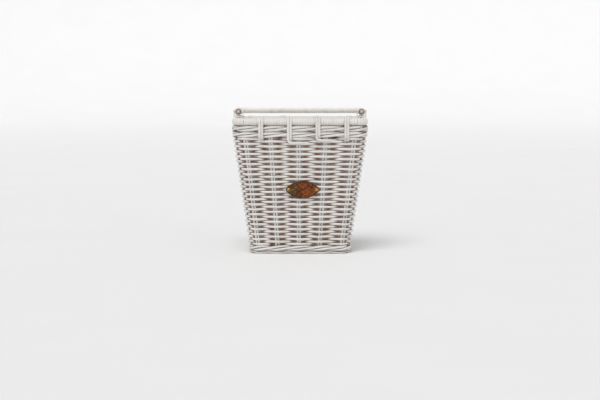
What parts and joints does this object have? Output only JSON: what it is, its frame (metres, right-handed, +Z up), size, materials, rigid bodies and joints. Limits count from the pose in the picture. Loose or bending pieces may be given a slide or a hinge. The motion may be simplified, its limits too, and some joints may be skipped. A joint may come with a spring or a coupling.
{
  "type": "bicycle side basket",
  "caption": "Tapered woven side basket with a wrapped rim, folding carry handle, oval badge and two hooks for a rack rail.",
  "frame": {"origin": "centre of the basket's flat base, on the plane that it stands on", "axes": "+Z up out of the open mouth; +X along the bicycle, the basket's long side; -Y the front wall with the badge, facing away from the wheel; +Y the back wall with the rack hooks"},
  "size_m": [0.3802, 0.2011, 0.402],
  "materials": {
    "wicker": "painted white rattan, satin",
    "steel_white": "white powder coat",
    "steel_bare": "zinc plated",
    "steel_black": "black powder coat",
    "vinyl": "matt black vinyl",
    "vinyl_milky": "milky white vinyl",
    "leather": "tan leather, tooled, dark edge",
    "brass": "aged brass",
    "plug": "bare rattan end"
  },
  "bodies": {
    "basket": {"rim_core": "steel_bare", "rim_wrap": "wicker", "top_wale": "wicker", "wall_weave": "wicker", "foot_wale": "wicker", "foot_border": "wicker", "base_weave": "wicker", "base_sticks": "wicker", "base_hoop": "steel_bare", "rim_loops_front": "wicker", "rim_loops_back": "wicker", "pivot_bracket_right": "steel_white", "pivot_bracket_left": "steel_white", "handle_stops": "vinyl_milky", "pivot_pin_right": "steel_bare", "pivot_pin_left": "steel_bare", "bracket_rivets": "steel_bare", "bracket_washers": "steel_bare", "badge": "leather", "badge_rivets": "brass", "badge_burrs": "brass", "hook_bolts": "steel_bare", "hook_nuts": "steel_bare", "stakes_front": "wicker", "stakes_back": "wicker", "stakes_left": "wicker", "stakes_right": "wicker", "hook_left": "steel_bare", "hook_sleeve_left": "vinyl", "hook_clamp_plate_left": "steel_black", "hook_backing_plate_left": "steel_black", "hook_right": "steel_bare", "hook_sleeve_right": "vinyl", "hook_clamp_plate_right": "steel_black", "hook_backing_plate_right": "steel_black"},
    "handle": {"handle_core": "steel_bare", "handle_wrap": "wicker", "handle_socket_right": "steel_white", "handle_socket_left": "steel_white", "handle_plugs": "plug"}
  },
  "joints": [
    {"name": "handle_hinge", "type": "hinge", "parent": "basket", "child": "handle", "pos_m": [0, 0, 0.3915], "axis": [1, 0, 0], "range_deg": [0, 180]}
  ]
}
